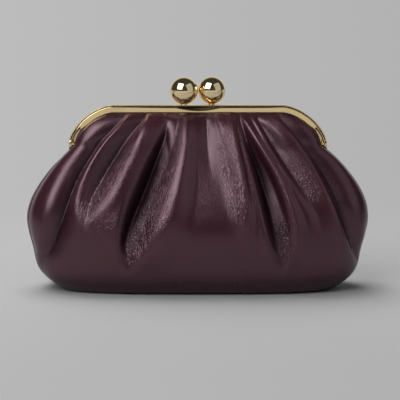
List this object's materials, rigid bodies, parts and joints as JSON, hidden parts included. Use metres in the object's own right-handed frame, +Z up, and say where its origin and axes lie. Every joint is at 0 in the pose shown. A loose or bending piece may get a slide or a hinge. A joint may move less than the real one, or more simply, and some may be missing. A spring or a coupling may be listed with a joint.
{
  "type": "evening clutch",
  "caption": "Pleated leather evening clutch with a hinged metal kiss-lock frame, ball clasp, gathered front, side gussets and a flat base.",
  "frame": {"origin": "middle of the flat base, on the surface that the clutch stands on", "axes": "+X along the frame to the viewer's right, -Y the front that the picture shows, +Z up"},
  "size_m": [0.2408, 0.0852, 0.1489],
  "materials": {
    "wine_leather": "smooth glossy calf leather with a fine grain, dark wine red",
    "polished_gold": "mirror-polished pale gold plating",
    "lining_cloth": "plain satin weave lining",
    "interlining_fleece": "pressed fleece",
    "base_board": "grey-brown bag board",
    "paper_cord": "twisted kraft paper cord"
  },
  "bodies": {
    "bag": {"front_panel": "wine_leather", "back_panel": "wine_leather", "left_gusset": "wine_leather", "right_gusset": "wine_leather", "base_panel": "wine_leather", "base_board": "base_board", "front_interlining": "interlining_fleece", "back_interlining": "interlining_fleece", "lining_bag": "lining_cloth", "left_hinge_rivet": "polished_gold", "right_hinge_rivet": "polished_gold"},
    "front_half": {"front_half_frame": "polished_gold", "front_ball": "polished_gold", "front_ball_post": "polished_gold", "front_paper_cord": "paper_cord", "front_gathered_yoke": "wine_leather", "front_yoke_lining": "lining_cloth"},
    "back_half": {"back_half_frame": "polished_gold", "back_ball": "polished_gold", "back_ball_post": "polished_gold", "back_paper_cord": "paper_cord", "back_gathered_yoke": "wine_leather", "back_yoke_lining": "lining_cloth"}
  },
  "joints": [
    {"name": "front_half_opening", "type": "hinge", "parent": "bag", "child": "front_half", "pos_m": [0, 0, 0.1016], "axis": [1, 0, 0], "range_deg": [0, 45]},
    {"name": "back_half_opening", "type": "hinge", "parent": "bag", "child": "back_half", "pos_m": [0, 0, 0.1016], "axis": [1, 0, 0], "range_deg": [-45, 0]}
  ],
  "couplings": [
    {"joint": "back_half_opening", "follows": "front_half_opening", "ratio": -1}
  ]
}
